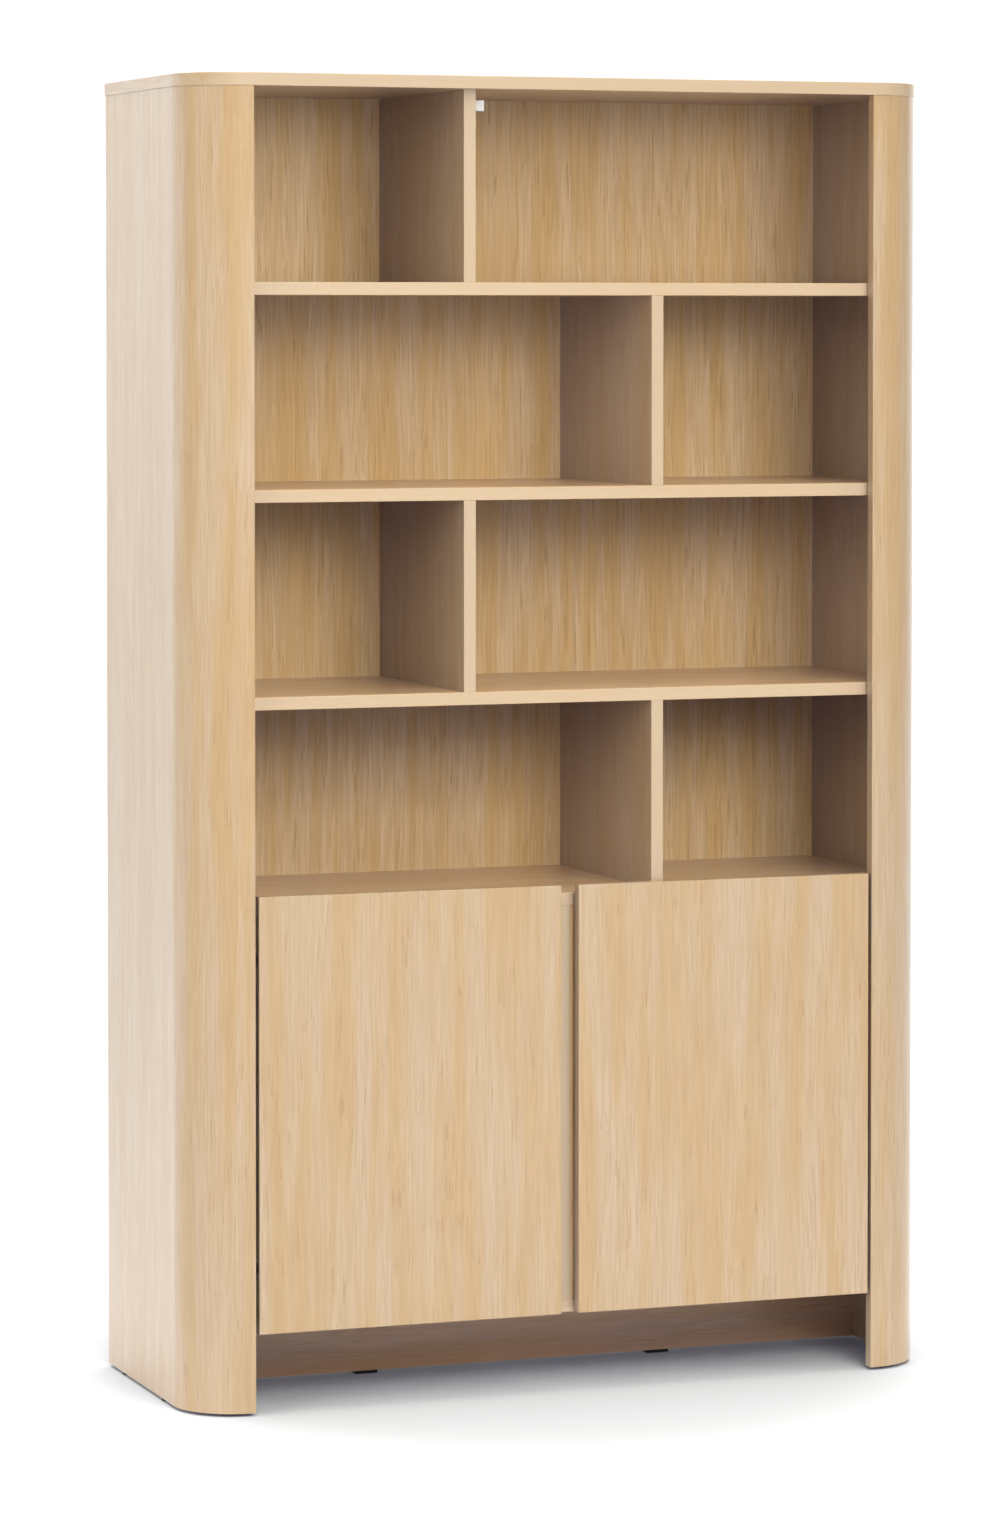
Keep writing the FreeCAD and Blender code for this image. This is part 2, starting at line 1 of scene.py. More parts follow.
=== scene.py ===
import bmesh
import bpy
import json
import math
from bpy.props import FloatProperty, FloatVectorProperty, IntProperty, PointerProperty
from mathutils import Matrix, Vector

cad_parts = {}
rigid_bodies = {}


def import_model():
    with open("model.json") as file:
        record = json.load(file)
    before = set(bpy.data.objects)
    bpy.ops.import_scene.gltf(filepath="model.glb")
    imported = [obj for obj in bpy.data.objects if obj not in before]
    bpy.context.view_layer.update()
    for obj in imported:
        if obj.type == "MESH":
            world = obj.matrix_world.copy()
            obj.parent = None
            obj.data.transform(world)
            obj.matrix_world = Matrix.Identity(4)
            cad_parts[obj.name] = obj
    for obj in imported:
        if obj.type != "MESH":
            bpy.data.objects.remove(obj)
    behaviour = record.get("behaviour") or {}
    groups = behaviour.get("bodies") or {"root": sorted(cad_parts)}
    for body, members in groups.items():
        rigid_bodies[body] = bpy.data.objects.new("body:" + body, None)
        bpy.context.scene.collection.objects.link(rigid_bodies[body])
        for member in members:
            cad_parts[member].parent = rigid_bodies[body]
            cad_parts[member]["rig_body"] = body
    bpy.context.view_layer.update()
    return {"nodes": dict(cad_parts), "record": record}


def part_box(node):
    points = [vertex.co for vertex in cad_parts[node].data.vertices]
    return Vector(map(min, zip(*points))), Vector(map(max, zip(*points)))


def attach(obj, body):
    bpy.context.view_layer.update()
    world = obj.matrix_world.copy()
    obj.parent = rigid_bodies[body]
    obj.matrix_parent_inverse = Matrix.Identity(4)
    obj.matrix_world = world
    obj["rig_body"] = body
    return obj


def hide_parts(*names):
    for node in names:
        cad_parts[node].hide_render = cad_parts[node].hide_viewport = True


bl_info = {
    "name": "Oak bookcase",
    "version": (1, 0, 0),
    "blender": (4, 5, 0),
    "location": "View3D > Sidebar > Bookcase",
    "description": "Dresses the bookcase in oak, steel and plastic and sets it in a pale studio",
    "category": "Object",
}

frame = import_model()

QUARTER_TURN = math.radians(90)
CRISP_TURN = math.radians(60)


def length(name, description, default):
    return FloatProperty(name=name, description=description, default=default, unit="LENGTH", precision=5)


def angle(name, description, default):
    return FloatProperty(name=name, description=description, default=math.radians(default), subtype="ANGLE")


def share(name, description, default):
    return FloatProperty(name=name, description=description, default=default, subtype="FACTOR", min=0, max=1)


def power(name, description, default):
    return FloatProperty(name=name, description=description, default=default, unit="POWER")


def number(name, description, default):
    return FloatProperty(name=name, description=description, default=default)


def count(name, description, default):
    return IntProperty(name=name, description=description, default=default, min=1)


def colour(name, description, default):
    return FloatVectorProperty(
        name=name, description=description, default=default, subtype="COLOR", min=0, soft_max=1
    )


def place(name, description, default):
    return FloatVectorProperty(name=name, description=description, default=default, subtype="TRANSLATION")


def panel_size(name, description, default):
    return FloatVectorProperty(name=name, description=description, default=default, size=2, unit="LENGTH")


# Values that a user would change


class BookcaseSizes(bpy.types.PropertyGroup):
    """Sizes of the modelled boards and of the softened edges."""

    return_flat: length("Return flat", "Flat width between a round corner and the opening", 0.006)
    corner_steps: count("Corner steps", "Faces in a round corner", 40)
    post_round: length("Post rounding", "Rounding of the post edges beside the opening", 0.0008)
    post_steps: count("Post steps", "Faces in a rounded post edge", 4)
    top_round: length("Top rounding", "Rounding of the rim of the top", 0.0012)
    seam_round: length("Seam rounding", "Rounding of edges that meet other boards", 0.0003)
    seam_steps: count("Seam steps", "Faces in a rounded seam edge", 2)
    block_round: length("Block rounding", "Rounding of the white fixing block", 0.0025)
    groove_fit: length("Groove fit", "Spare room round the back panel in its grooves", 0.0003)
    merge_distance: length("Merge distance", "Corners closer than this become one", 0.000002)
    sharp_angle: angle("Sharp angle", "Edges that turn more than this stay crisp", 32)
    flat_angle: angle("Flat angle", "Faces that turn less than this are one face", 0.5)


class BookcaseOak(bpy.types.PropertyGroup):
    """Colours and grain of the oak."""

    pale: colour("Pale oak", "Greyish pale bands", (0.572, 0.420, 0.266))
    warm: colour("Warm oak", "Golden bands between the pale ones", (0.536, 0.352, 0.168))
    late: colour("Late wood", "Darker fibres and growth lines", (0.410, 0.245, 0.104))
    pore: colour("Pores", "Short dark strokes of open pores", (0.340, 0.185, 0.068))
    edge: colour("Edge band", "Paler band on the front edges of boards", (0.575, 0.430, 0.270))
    # Painted shade: boards lit by the oak see this dim, bluish colour instead of its own, so the shade in
    # the rows and corners is deeper and purplish.
    bounce: colour("Bounce", "Oak as other boards see it when it lights them", (0.21, 0.168, 0.36))
    # Painted light: the back panel's front face is a lighter, warmer copy of the oak, standing in for the
    # light that falls into the rows.
    back_painted_light: colour("Back cast", "Colour of the back panel against the plain boards", (1.59, 1.55, 1.33))
    rear_cast: colour("Rear cast", "Colour of the back panel's rear face", (1.36, 1.46, 1.70))
    # Painted shade: the base rail is a lighter, redder copy of the oak, standing in for how it looks in the
    # shade under the cabinet.
    rail_painted_shade: colour("Rail cast", "Colour of the base rail against the plain boards", (1.30, 1.09, 1.05))
    # Painted light: shelves, gap strips and level boards are lighter copies of the oak, standing in for the
    # light on shelf tops and in the finger gap.
    level_painted_light: colour("Level cast", "Colour of level boards against the plain boards", (1.62, 1.54, 1.42))
    band_width: length("Band width", "Width of the tone bands", 0.030)
    band_length: length("Band length", "Length of the tone bands", 0.50)
    sway_width: length("Sway width", "Width of the grain's slow sway", 0.06)
    sway_length: length("Sway length", "Length of the grain's slow sway", 0.20)
    sway_reach: length("Sway reach", "How far the grain sways", 0.007)
    figure_width: length("Figure width", "Width of the arched figure", 0.090)
    figure_length: length("Figure length", "Length of the arched figure", 0.55)
    ring_count: number("Ring count", "Growth lines across one figure", 9.0)
    fibre_width: length("Fibre width", "Width of the fine fibres", 0.0028)
    fibre_length: length("Fibre length", "Length of the fine fibres", 0.09)
    pore_width: length("Pore width", "Width of a pore", 0.0020)
    pore_length: length("Pore length", "Length of a pore", 0.045)
    back_length: number("Back length", "Length of the back panel's fibres against other boards'", 1.5)
    ring_share: share("Ring strength", "How much the growth lines show", 0.16)
    fibre_share: share("Fibre strength", "How much the fibres show", 0.34)
    pore_share: share("Pore strength", "How much the pores show", 0.45)
    edge_share: share("Edge strength", "How much the edge band hides the grain under it", 0.85)
    plain_strength: number("Plain strength", "How strongly plain boards show their grain", 1.0)
    back_strength: number("Back strength", "How strongly the back panel shows its grain", 1.35)
    roughness: share("Roughness", "Roughness of the oak", 0.42)
    grain_roughness: share("Grain roughness", "How much rougher fibres and pores are", 0.10)
    specular: share("Specular", "Strength of the oak's own reflections", 1.0)
    lacquer: share("Lacquer", "Weight of the clear lacquer", 1.0)
    lacquer_roughness: share("Lacquer roughness", "Roughness of the clear lacquer", 0.32)
    back_gloss: share("Back gloss", "Gloss of the back panel against the other boards", 0.3)
    relief: length("Relief", "Depth of the open grain", 0.00006)


class BookcaseFittings(bpy.types.PropertyGroup):
    """Colours and fine grain of the small fittings."""

    nickel: colour("Nickel", "Satin nickel of the hinges and pins", (0.60, 0.59, 0.57))
    zinc: colour("Zinc", "Plated screws", (0.62, 0.63, 0.65))
    black: colour("Black plastic", "Moulded glides", (0.015, 0.015, 0.016))
    white: colour("White plastic", "Moulded fixing block", (0.82, 0.79, 0.73))
    rubber: colour("Bumper", "Soft door bumpers", (0.72, 0.72, 0.69))
    beech: colour("Beech", "Dowels", (0.56, 0.38, 0.22))
    fleck: colour("Beech fleck", "Short dark flecks in the dowels", (0.36, 0.20, 0.10))
    fleck_width: length("Fleck width", "Width of a fleck in the beech", 0.0005)
    fleck_length: length("Fleck length", "Length of a fleck in the beech", 0.004)
    mould_grain: length("Moulded grain", "Size of the fine grain on moulded plastic", 0.0006)
    brush_width: length("Brushing width", "Width of the brushing lines on steel", 0.0003)
    brush_length: length("Brushing length", "Length of the brushing lines on steel", 0.012)
    relief: length("Relief", "Depth of the moulded grain and of the brushing", 0.00002)
    beech_roughness: share("Beech roughness", "Roughness of the dowels", 0.6)
    fleck_roughness: share("Fleck roughness", "How much rougher a fleck is", 0.1)
    steel_roughness: share("Steel roughness", "Roughness of the plated steel", 0.2)
    brush_roughness: share("Brushing roughness", "How much rougher the brushing lines are", 0.22)
    black_roughness: share("Black roughness", "Roughness of the glides", 0.4)
    white_roughness: share("White roughness", "Roughness of the fixing block", 0.3)
    rubber_roughness: share("Bumper roughness", "Roughness of the bumpers", 0.25)
    mould_roughness: share("Moulded roughness", "How much rougher the moulded grain is", 0.2)
    soil_share: share("Soiling", "How much darker the plastic and steel are in patches", 0.20)


class BookcaseStage(bpy.types.PropertyGroup):
    """Floor, light and camera."""

    floor_size: length("Floor size", "Width of the pale floor", 80.0)
    # Painted shadow: the floor near the bookcase has this darker tone, which fades into the far tone.
    painted_shadow_tone: colour("Floor tone", "Colour of the pale floor", (0.69, 0.70, 0.66))
    far_tone: colour("Far tone", "Colour of the floor far from the bookcase", (0.95, 0.95, 0.95))
    floor_patch: length("Floor patches", "Size of the faint patches on the floor", 0.9)
    floor_roughness: share("Floor roughness", "Roughness of the pale floor", 0.7)
    patch_share: share("Patch tone", "Brightness of a floor patch against the floor", 0.985)
    patch_roughness: share("Patch roughness", "How much rougher a floor patch is", 0.1)
    # The painted shadow on the floor is full within the near floor distance and gone beyond the far floor
    # distance.
    floor_near: length("Near floor", "Distance within which the floor throws all its light back up", 0.45)
    floor_far: length("Far floor", "Distance from which the floor throws little light back up", 0.9)
    floor_return: share("Floor return", "Share of the light that the far floor throws back up", 0.1)
    sky_light: number("Sky light", "Strength of the soft light from straight above", 3.9)
    sky_focus: number("Sky focus", "How closely the soft light keeps to straight above", 8.0)
    rear_glow: number("Rear glow", "Brightness of the pale surroundings behind the bookcase", 1.4)
    glow_start_share: share("Glow start", "How squarely behind the bookcase the rear glow begins", 0.1)
    glow_full_share: share("Glow full", "How squarely behind the bookcase the rear glow is full", 0.6)
    backdrop: number("Backdrop", "Brightness of the plain backdrop", 1.1)
    aim: place("Aim", "Point that every softbox faces", (0, 0, 0.95))
    near_place: place("Near place", "Where the near softbox stands", (0, -3.2, 1.85))
    near_size: panel_size("Near size", "Width and height of the near softbox", (2, 1.2))
    near_power: power("Near power", "Power of the near softbox", 34)
    front_place: place("Front place", "Where the front softbox stands", (0, -6, 3))
    front_size: panel_size("Front size", "Width and height of the front softbox", (3, 2))
    front_power: power("Front power", "Power of the front softbox", 96)
    high_place: place("High place", "Where the high softbox stands", (0, -6, 6))
    high_size: panel_size("High size", "Width and height of the high softbox", (6, 4))
    high_power: power("High power", "Power of the high softbox", 245)
    side_place: place("Side place", "Where the left softbox stands", (-5.5, -0.5, 1.6))
    side_size: panel_size("Side size", "Width and height of the left softbox", (3, 3))
    side_power: power("Side power", "Power of the left softbox", 90)
    corner_place: place("Corner place", "Where the left front softbox stands", (-5.5, -3.2, 2.4))
    corner_size: panel_size("Corner size", "Width and height of the left front softbox", (2.5, 2.5))
    corner_power: power("Corner power", "Power of the left front softbox", 71)
    right_place: place("Right place", "Where the right front softbox stands", (6.5, -3, 2.2))
    right_size: panel_size("Right size", "Width and height of the right front softbox", (2.5, 2.5))
    right_power: power("Right power", "Power of the right front softbox", 100)
    camera_place: place("Camera place", "Where the camera stands", (-2.6623, -7.1678, 1.5147))
    camera_turn: angle("Camera turn", "How far the camera turns to the right", 20.1736)
    camera_tilt: angle("Camera tilt", "How far the camera tilts down", 2)
    lens: number("Lens", "Focal length in millimetres", 126.167)
    lens_shift: number("Lens shift", "Upright shift of the lens", -0.1686)
    sight: length("Sight", "How far the camera sees", 160)
    exposure: number("Exposure", "Brightness of the picture, in stops", 0.0)
    contrast: number("Contrast", "Display gamma, deeper shadows below one", 1.0)


# Modelling helpers


def alone(piece):
    """Select one object alone and make it active."""
    bpy.ops.object.select_all(action="DESELECT")
    piece.select_set(True)
    bpy.context.view_layer.objects.active = piece


def settle(piece, name):
    """Put a new primitive's place, turn and size into its mesh and name it."""
    piece.name = name
    piece.data.name = name
    bpy.ops.object.transform_apply(location=True, rotation=True, scale=True)
    return piece


def block(name, low, high):
    """A cube primitive between two corners."""
    bpy.ops.object.select_all(action="DESELECT")
    bpy.ops.mesh.primitive_cube_add(size=1, location=(low + high) / 2)
    piece = bpy.context.object
    piece.scale = high - low
    return settle(piece, name)


def pick_edges(piece, wanted):
    """In edit mode, select the edges that pass a test of their ends and of the angle between their faces."""
    bpy.ops.mesh.select_mode(type="EDGE")
    bpy.ops.mesh.select_all(action="DESELECT")
    mesh = bmesh.from_edit_mesh(piece.data)
    for edge in mesh.edges:
        edge.select_set(wanted(edge.verts[0].co, edge.verts[1].co, edge.calc_face_angle(0)))
    bmesh.update_edit_mesh(piece.data)


def add_modifier(piece, kind, **settings):
    """Add a modifier with the given settings and apply it."""
    alone(piece)
    bpy.ops.object.modifier_add(type=kind)
    modifier = piece.modifiers[-1]
    for name, value in settings.items():
        setattr(modifier, name, value)
    bpy.ops.object.modifier_apply(modifier=modifier.name)


def cut_groove(piece, low, high):
    """Cut a straight groove out of a piece."""
    cutter = block("groove_cutter", low, high)
    add_modifier(piece, "BOOLEAN", operation="DIFFERENCE", object=cutter, solver="EXACT")
    bpy.data.objects.remove(cutter)


def soften(piece, sharp_angle):
    """Shade round faces smoothly and keep flat faces flat."""
    alone(piece)
    bpy.ops.object.shade_smooth_by_angle(angle=sharp_angle)
    add_modifier(piece, "WEIGHTED_NORMAL", keep_sharp=True)


def slot_of(node):
    """The record's material slot of a CAD node."""
    for subpart in frame["record"]["subparts"]:
        if subpart["node"] == node:
            return subpart["material_slot"]
    raise RuntimeError("no material slot for " + node)


def finish_of(node):
    """The finish of a CAD node: its slot's own, or one for boards that differ from their slot's; the shelf
    and strip finishes carry painted light and the rail's carries painted shade.
    """
    if node.endswith(("_divider", "_partition")):
        return "oak_divider"
    if node.endswith("_shelf") or node.startswith("cabinet_") and "dowels" not in node:
        return "oak_shelf"
    if node.endswith("_gap_strip"):
        return "oak_strip"
    if node == "base_rail":
        return "oak_rail"
    if node == "top_panel":
        return "oak_top"
    return slot_of(node)


def dress(piece, finish):
    """Give a piece one finish."""
    piece.data.materials.clear()
    piece.data.materials.append(bpy.data.materials[finish])


def stand_for(piece, node):
    """Let a new piece take a CAD node's place, body and finish."""
    dress(piece, finish_of(node))
    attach(piece, frame["nodes"][node]["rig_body"])
    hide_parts(node)


# Material helpers


# Turns of the grain: along z, along x and along y
UPRIGHT = (0, 0, 0)
ACROSS = (0, QUARTER_TURN, 0)
DEEP = (QUARTER_TURN, 0, 0)

# Shares of a noise's range where a mark begins and where it is full
BAND_SHARES = (0.36, 0.64)
RING_SHARES = (0.35, 0.95)
EARLY_SHARES = (0.05, 0.60)
FIBRE_SHARES = (0.34, 0.66)
PORE_SHARES = (0.54, 0.68)
FLECK_SHARES = (0.55, 0.75)

# How squarely a face must point along an axis to begin to count, and to count in full
FACING_SHARES = (0.7, 0.9)
SIDEWAYS_SHARE = 0.7

# Layers of noise, and the middle of its range
SMOOTH = 1
SOFT = 2
FINE = 3
MIDDLE = (0.5, 0.5, 0.5)


def new_finish(name):
    """A material emptied down to a principled shader, as its tree and the shader."""
    finish = bpy.data.materials.get(name) or bpy.data.materials.new(name)
    finish.use_nodes = True
    tree = finish.node_tree
    tree.nodes.clear()
    shader = tree.nodes.new("ShaderNodeBsdfPrincipled")
    output = tree.nodes.new("ShaderNodeOutputMaterial")
    tree.links.new(shader.outputs["BSDF"], output.inputs["Surface"])
    return tree, shader


def feed(tree, socket, value):
    """Link a socket to an output, or set it to a plain value."""
    if isinstance(value, bpy.types.NodeSocket):
        tree.links.new(value, socket)
    else:
        socket.default_value = value


def maths(tree, operation, first, second=0.0, third=0.0):
    """One step of arithmetic."""
    node = tree.nodes.new("ShaderNodeMath")
    node.operation = operation
    for socket, value in zip(node.inputs, (first, second, third)):
        feed(tree, socket, value)
    return node.outputs["Value"]


def vector_maths(tree, operation, *values):
    """One step of arithmetic on three numbers at once."""
    node = tree.nodes.new("ShaderNodeVectorMath")
    node.operation = operation
    for socket, value in zip(node.inputs, values):
        feed(tree, socket, value)
    return node.outputs["Vector"]


def blend(tree, amount, first, second):
    """A mix of two colours."""
    node = tree.nodes.new("ShaderNodeMix")
    node.data_type = "RGBA"
    inputs = [socket for socket in node.inputs if socket.type == "RGBA"]
    output = [socket for socket in node.outputs if socket.type == "RGBA"][0]
    feed(tree, node.inputs["Factor"], amount)
    for socket, value in zip(inputs, (first, second)):
        feed(tree, socket, value if isinstance(value, bpy.types.NodeSocket) else (*value, 1))
    return output


def between(tree, value, low, high):
    """Zero below the low value, one above the high one and smooth between them."""
    node = tree.nodes.new("ShaderNodeMapRange")
    node.interpolation_type = "SMOOTHSTEP"
    feed(tree, node.inputs["Value"], value)
    node.inputs["From Min"].default_value = low
    node.inputs["From Max"].default_value = high
    return node.outputs["Result"]


def turned_place(tree, turn):
    """The place on the piece, turned so that the grain runs along the third axis."""
    coordinates = tree.nodes.new("ShaderNodeTexCoord")
    mapping = tree.nodes.new("ShaderNodeMapping")
    mapping.inputs["Rotation"].default_value = turn
    tree.links.new(coordinates.outputs["Object"], mapping.inputs["Vector"])
    return mapping.outputs["Vector"]


def facing(tree, axis):
    """How far a face points along one axis of the piece, from minus one to one."""
    coordinates = tree.nodes.new("ShaderNodeTexCoord")
    parts = tree.nodes.new("ShaderNodeSeparateXYZ")
    tree.links.new(coordinates.outputs["Normal"], parts.inputs["Vector"])
    return parts.outputs[axis]


def streaks(tree, vector, width, along, detail=SMOOTH):
    """Noise that is stretched along the grain, as its value and its colour."""
    mapping = tree.nodes.new("ShaderNodeMapping")
    mapping.inputs["Scale"].default_value = (1 / width, 1 / width, 1 / along)
    noise = tree.nodes.new("ShaderNodeTexNoise")
    noise.inputs["Scale"].default_value = 1
    noise.inputs["Detail"].default_value = detail
    tree.links.new(vector, mapping.inputs["Vector"])
    tree.links.new(mapping.outputs["Vector"], noise.inputs["Vector"])
    return noise.outputs["Fac"], noise.outputs["Color"]


def raise_grain(tree, shader, height, depth):
    """A fine relief from a height between zero and one."""
    bump = tree.nodes.new("ShaderNodeBump")
    bump.inputs["Strength"].default_value = 1
    bump.inputs["Distance"].default_value = depth
    tree.links.new(height, bump.inputs["Height"])
    tree.links.new(bump.outputs["Normal"], shader.inputs["Normal"])


def scaled(tree, value, factor):
    """A value times a plain number."""
    return maths(tree, "MULTIPLY", value, factor)


def oak_finish(
    name, oak, turn, strength, along=1, tint=(1, 1, 1), rear_tint=None, gloss=1, rim_turn=None, banded=False
):
    """Satin oak with tone bands, arched figure, fibres and pores along the grain.

    The grain follows the turn, and the rim turn on a rim that faces sideways.
    The tint colours the board and is painted light where it is not white, a lighter or redder copy of the
    oak for how light falls on the board. The rear tint colours its faces that point backwards.
    A banded board has a paler band on its front edge.
    """
    tree, shader = new_finish(name)
    start = turned_place(tree, turn)
    if rim_turn:
        sideways = maths(tree, "GREATER_THAN", maths(tree, "ABSOLUTE", facing(tree, "X")), SIDEWAYS_SHARE)
        start = blend(tree, sideways, start, turned_place(tree, rim_turn))
    sway = streaks(tree, start, oak.sway_width, oak.sway_length)[1]
    centred = vector_maths(tree, "SUBTRACT", sway, MIDDLE)
    grain = vector_maths(tree, "MULTIPLY_ADD", centred, (oak.sway_reach, oak.sway_reach, 0), start)
    bands = between(tree, streaks(tree, grain, oak.band_width, oak.band_length, SOFT)[0], *BAND_SHARES)
    figure = streaks(tree, grain, oak.figure_width, oak.figure_length, SOFT)[0]
    ring = maths(tree, "FRACT", scaled(tree, figure, oak.ring_count))
    rings = between(tree, ring, *RING_SHARES)
    fibre_noise = streaks(tree, grain, oak.fibre_width, oak.fibre_length * along, FINE)[0]
    fibres = between(tree, fibre_noise, *FIBRE_SHARES)
    early = maths(tree, "SUBTRACT", 1, between(tree, ring, *EARLY_SHARES))
    strokes = between(tree, streaks(tree, grain, oak.pore_width, oak.pore_length * along)[0], *PORE_SHARES)
    pores = maths(tree, "MULTIPLY", strokes, early)
    tone = blend(tree, bands, oak.pale, oak.warm)
    tone = blend(tree, scaled(tree, rings, oak.ring_share * strength), tone, oak.late)
    tone = blend(tree, scaled(tree, fibres, oak.fibre_share * strength), tone, oak.late)
    tone = blend(tree, scaled(tree, pores, oak.pore_share * strength), tone, oak.pore)
    # The tint's painted light covers every face but those that point backwards, which take the rear tint.
    behind = between(tree, facing(tree, "Y"), *FACING_SHARES)
    tone = vector_maths(tree, "MULTIPLY", tone, blend(tree, behind, tint, rear_tint or tint))
    if banded:
        front = between(tree, scaled(tree, facing(tree, "Y"), -1), *FACING_SHARES)
        tone = blend(tree, scaled(tree, front, oak.edge_share), tone, oak.edge)
    # Painted shade: light that the oak throws on to other boards takes the dim, bluish bounce colour, which
    # deepens and tints the shade in the rows.
    path = tree.nodes.new("ShaderNodeLightPath")
    tone = blend(tree, path.outputs["Is Diffuse Ray"], tone, oak.bounce)
    tree.links.new(tone, shader.inputs["Base Color"])
    open_grain = maths(tree, "MAXIMUM", fibres, pores)
    roughness = maths(tree, "MULTIPLY_ADD", open_grain, oak.grain_roughness, oak.roughness)
    tree.links.new(roughness, shader.inputs["Roughness"])
    shader.inputs["Specular IOR Level"].default_value = oak.specular * gloss
    shader.inputs["Coat Weight"].default_value = oak.lacquer * gloss
    shader.inputs["Coat Roughness"].default_value = oak.lacquer_roughness
    raise_grain(tree, shader, maths(tree, "SUBTRACT", 1, pores), oak.relief)


def beech_finish(name, fittings):
    """Plain beech with short flecks."""
    tree, shader = new_finish(name)
    start = turned_place(tree, ACROSS)
    fleck_noise = streaks(tree, start, fittings.fleck_width, fittings.fleck_length)[0]
    flecks = between(tree, fleck_noise, *FLECK_SHARES)
    tree.links.new(blend(tree, flecks, fittings.beech, fittings.fleck), shader.inputs["Base Color"])
    roughness = maths(tree, "MULTIPLY_ADD", flecks, fittings.fleck_roughness, fittings.beech_roughness)
    tree.links.new(roughness, shader.inputs["Roughness"])
    raise_grain(tree, shader, flecks, fittings.relief)


def soiled(tree, start, tint, fittings):
    """A tint that is a little darker in soft patches."""
    patches = streaks(tree, start, fittings.brush_length, fittings.brush_length, SOFT)[0]
    dark = [part * (1 - fittings.soil_share) for part in tint]
    return blend(tree, patches, tint, dark)


def steel_finish(name, tint, fittings):
    """Plated steel with fine brushing."""
    tree, shader = new_finish(name)
    start = turned_place(tree, UPRIGHT)
    brushing = streaks(tree, start, fittings.brush_width, fittings.brush_length, SOFT)[0]
    tree.links.new(soiled(tree, start, tint, fittings), shader.inputs["Base Color"])
    shader.inputs["Metallic"].default_value = 1
    roughness = maths(tree, "MULTIPLY_ADD", brushing, fittings.brush_roughness, fittings.steel_roughness)
    tree.links.new(roughness, shader.inputs["Roughness"])
    raise_grain(tree, shader, brushing, fittings.relief)


def moulded_finish(name, tint, base_roughness, fittings):
    """Moulded plastic or rubber with a fine grain."""
    tree, shader = new_finish(name)
    start = turned_place(tree, UPRIGHT)
    grain = streaks(tree, start, fittings.mould_grain, fittings.mould_grain, SOFT)[0]
    tree.links.new(soiled(tree, start, tint, fittings), shader.inputs["Base Color"])
    roughness = maths(tree, "MULTIPLY_ADD", grain, fittings.mould_roughness, base_roughness)
    tree.links.new(roughness, shader.inputs["Roughness"])
    raise_grain(tree, shader, grain, fittings.relief)


# Operators


class BOOKCASE_OT_finishes(bpy.types.Operator):
    """Make every finish, among them copies of the oak with painted light and shade, and give each board and
    fitting its slot's finish or the oak finish made for it
    """

    bl_idname = "bookcase.finishes"
    bl_label = "Finishes"

    def execute(self, context):
        oak = context.scene.bookcase_oak
        fittings = context.scene.bookcase_fittings
        plain = oak.plain_strength
        oak_finish("oak_upright", oak, UPRIGHT, plain)
        oak_finish("oak_door", oak, UPRIGHT, plain)
        oak_finish("oak_divider", oak, UPRIGHT, plain, banded=True)
        # The back panel's front face carries painted light from its cast; its rear face is given the tone of
        # the other boards.
        oak_finish(
            "oak_back",
            oak,
            UPRIGHT,
            oak.back_strength,
            along=oak.back_length,
            tint=oak.back_painted_light,
            rear_tint=oak.rear_cast,
            gloss=oak.back_gloss,
        )
        # Painted light: the strips, the level boards and the shelves are lighter copies of the oak, and the
        # rail is a lighter, redder one for the shade under the cabinet; on the shelves' front edges the edge
        # band covers most of it.
        oak_finish("oak_strip", oak, UPRIGHT, plain, tint=oak.level_painted_light)
        oak_finish("oak_rail", oak, ACROSS, plain, tint=oak.rail_painted_shade)
        oak_finish("oak_level", oak, ACROSS, plain, tint=oak.level_painted_light)
        oak_finish("oak_shelf", oak, ACROSS, plain, tint=oak.level_painted_light, banded=True)
        oak_finish("oak_top", oak, ACROSS, plain, rim_turn=DEEP, banded=True)
        beech_finish("beech_dowel", fittings)
        steel_finish("nickel_steel", fittings.nickel, fittings)
        steel_finish("zinc_screw", fittings.zinc, fittings)
        moulded_finish("black_plastic", fittings.black, fittings.black_roughness, fittings)
        moulded_finish("white_plastic", fittings.white, fittings.white_roughness, fittings)
        moulded_finish("clear_rubber", fittings.rubber, fittings.rubber_roughness, fittings)
        for name, node in frame["nodes"].items():
            dress(node, finish_of(name))
        return {"FINISHED"}


